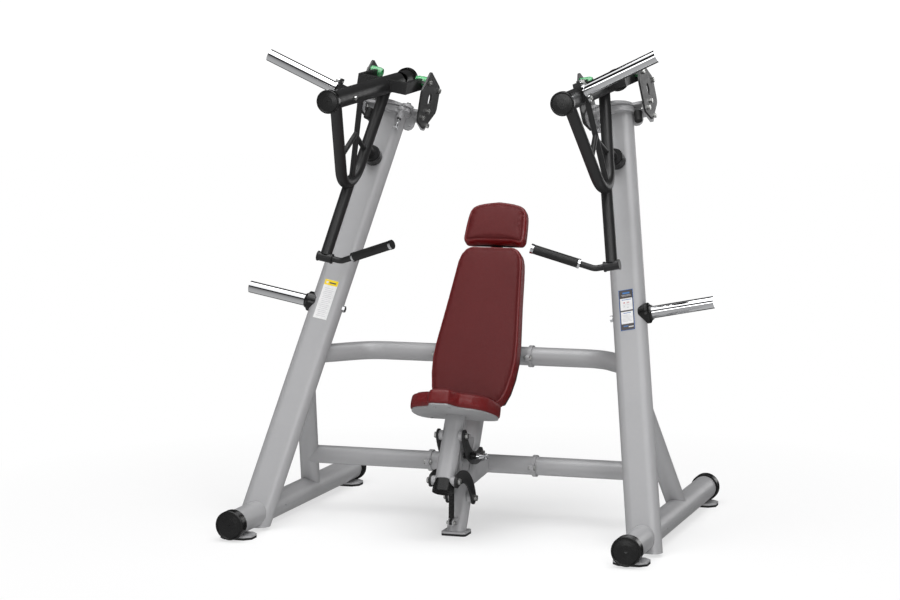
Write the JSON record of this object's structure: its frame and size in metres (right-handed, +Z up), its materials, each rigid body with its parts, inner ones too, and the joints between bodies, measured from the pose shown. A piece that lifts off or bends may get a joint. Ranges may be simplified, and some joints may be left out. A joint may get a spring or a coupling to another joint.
{
  "type": "shoulder press machine",
  "caption": "Plate-loaded shoulder press machine: leaning twin-upright frame, overhead jointed press arms with bent grips, padded reclined back and height-adjustable saddle seat.",
  "frame": {"origin": "on the floor under the middle of the machine, on its plane of symmetry", "axes": "+Z up, -Y the way the seated user faces, +X to the left hand of the seated user, X = 0 the plane of symmetry"},
  "size_m": [2.0054, 1.45, 1.9522],
  "materials": {
    "frame_grey": "fine-textured silver-grey powder coat",
    "arm_graphite": "semi-gloss dark graphite powder coat",
    "black_plastic": "moulded, satin",
    "black_rubber": "matt rubber",
    "grip_rubber": "knurled rubber grip",
    "chrome": "polished hard chrome",
    "zinc": "zinc-plated hardware",
    "green_coat": "bright green enamel",
    "vinyl": "stitched textured upholstery vinyl over foam",
    "pad_board": "black backing board and brackets",
    "plate_grey": "silver-grey powder coat",
    "placard": "blank printed placard"
  },
  "bodies": {
    "frame": {"runners": "frame_grey", "runner_caps": "black_plastic", "foot_pads": "black_rubber", "uprights": "frame_grey", "braces": "frame_grey", "lower_cross_ends": "frame_grey", "lower_cross_mid": "frame_grey", "upper_cross_ends": "frame_grey", "upper_cross_mid": "frame_grey", "seat_column": "frame_grey", "index_plate": "frame_grey", "frame_bolts": "zinc", "storage_horns": "chrome", "storage_collars": "black_plastic", "placards": "placard", "head_bases": "frame_grey", "swivel_bumpers": "black_rubber", "back_pad": "vinyl", "head_pad": "vinyl", "back_frame": "pad_board"},
    "right_swivel_head": {"swivel_plate_r": "frame_grey", "side_plates_r": "arm_graphite", "swivel_bolts_r": "zinc"},
    "right_lock_pin": {"lock_pin_r": "chrome"},
    "right_press_arm": {"arm_main_r": "arm_graphite", "press_frame_r": "arm_graphite", "press_bar_r": "arm_graphite", "arm_ends_r": "black_plastic", "pivot_hubs_r": "green_coat", "weight_horn_r": "chrome", "arm_bolts_r": "zinc", "grip_r": "grip_rubber", "grip_rings_r": "chrome"},
    "left_swivel_head": {"swivel_plate_l": "frame_grey", "side_plates_l": "arm_graphite", "swivel_bolts_l": "zinc"},
    "left_lock_pin": {"lock_pin_l": "chrome"},
    "left_press_arm": {"arm_main_l": "arm_graphite", "press_frame_l": "arm_graphite", "press_bar_l": "arm_graphite", "arm_ends_l": "black_plastic", "pivot_hubs_l": "green_coat", "weight_horn_l": "chrome", "arm_bolts_l": "zinc", "grip_l": "grip_rubber", "grip_rings_l": "chrome"},
    "upper_link_pair": {"upper_links": "arm_graphite", "pin_housing": "black_plastic"},
    "seat_index_pin": {"seat_pin": "chrome"},
    "lower_link_pair": {"lower_links": "arm_graphite"},
    "seat_carrier": {"carrier": "frame_grey", "carrier_cap": "black_plastic", "carrier_bolts": "zinc", "seat_plate": "plate_grey", "seat_pad": "vinyl"},
    "gas_spring_tube": {"gas_cylinder": "black_plastic"},
    "gas_spring_rod": {"gas_rod": "chrome"}
  },
  "joints": [
    {"name": "right_swivel", "type": "hinge", "parent": "frame", "child": "right_swivel_head", "pos_m": [0.49278, 0.35677, 1.69307], "axis": [-0.1741, 0.4274, 0.8872], "range_deg": [-5, 5]},
    {"name": "right_press", "type": "hinge", "parent": "right_swivel_head", "child": "right_press_arm", "pos_m": [0.46487, 0.35812, 1.83534], "axis": [-0.9813, 0, -0.1925], "range_deg": [0, 50]},
    {"name": "right_lock_pull", "type": "slide", "parent": "frame", "child": "right_lock_pin", "axis": [0.1741, -0.4274, -0.8872], "range_m": [0, 0.008], "stiffness_N_per_m": 900, "springref_m": -0.008},
    {"name": "left_swivel", "type": "hinge", "parent": "frame", "child": "left_swivel_head", "pos_m": [-0.49278, 0.35677, 1.69307], "axis": [-0.1741, -0.4274, -0.8872], "range_deg": [-5, 5]},
    {"name": "left_press", "type": "hinge", "parent": "left_swivel_head", "child": "left_press_arm", "pos_m": [-0.46487, 0.35812, 1.83534], "axis": [-0.9813, 0, 0.1925], "range_deg": [0, 50]},
    {"name": "left_lock_pull", "type": "slide", "parent": "frame", "child": "left_lock_pin", "axis": [-0.1741, -0.4274, -0.8872], "range_m": [0, 0.008], "stiffness_N_per_m": 900, "springref_m": -0.008},
    {"name": "seat_lift", "type": "hinge", "parent": "frame", "child": "upper_link_pair", "pos_m": [0, -0.13562, 0.30958], "axis": [-1, 0, 0], "range_deg": [-15, 15]},
    {"name": "seat_pin_pull", "type": "slide", "parent": "upper_link_pair", "child": "seat_index_pin", "axis": [1, 0, 0], "range_m": [0, 0.012], "stiffness_N_per_m": 900, "springref_m": -0.006},
    {"name": "seat_level", "type": "hinge", "parent": "upper_link_pair", "child": "seat_carrier", "pos_m": [0, -0.35405, 0.41377], "axis": [-1, 0, 0], "range_deg": [-15.5, 15.5]},
    {"name": "lower_link_turn", "type": "hinge", "parent": "frame", "child": "lower_link_pair", "pos_m": [0, -0.23262, 0.14157], "axis": [-1, 0, 0], "range_deg": [-15.5, 15.5]},
    {"name": "gas_spring_tilt", "type": "hinge", "parent": "frame", "child": "gas_spring_tube", "pos_m": [0, -0.358, 0.06], "axis": [-1, 0, 0], "range_deg": [-6, 6]},
    {"name": "gas_spring_stroke", "type": "slide", "parent": "gas_spring_tube", "child": "gas_spring_rod", "axis": [0, 0.0426, 0.9991], "range_m": [-0.06, 0.06]}
  ],
  "couplings": [
    {"joint": "seat_level", "follows": "seat_lift", "ratio": -1},
    {"joint": "lower_link_turn", "follows": "seat_lift", "ratio": 1},
    {"joint": "gas_spring_tilt", "follows": "seat_lift", "ratio": 0.36},
    {"joint": "gas_spring_stroke", "follows": "seat_lift", "m_per_rad": 0.2216}
  ]
}
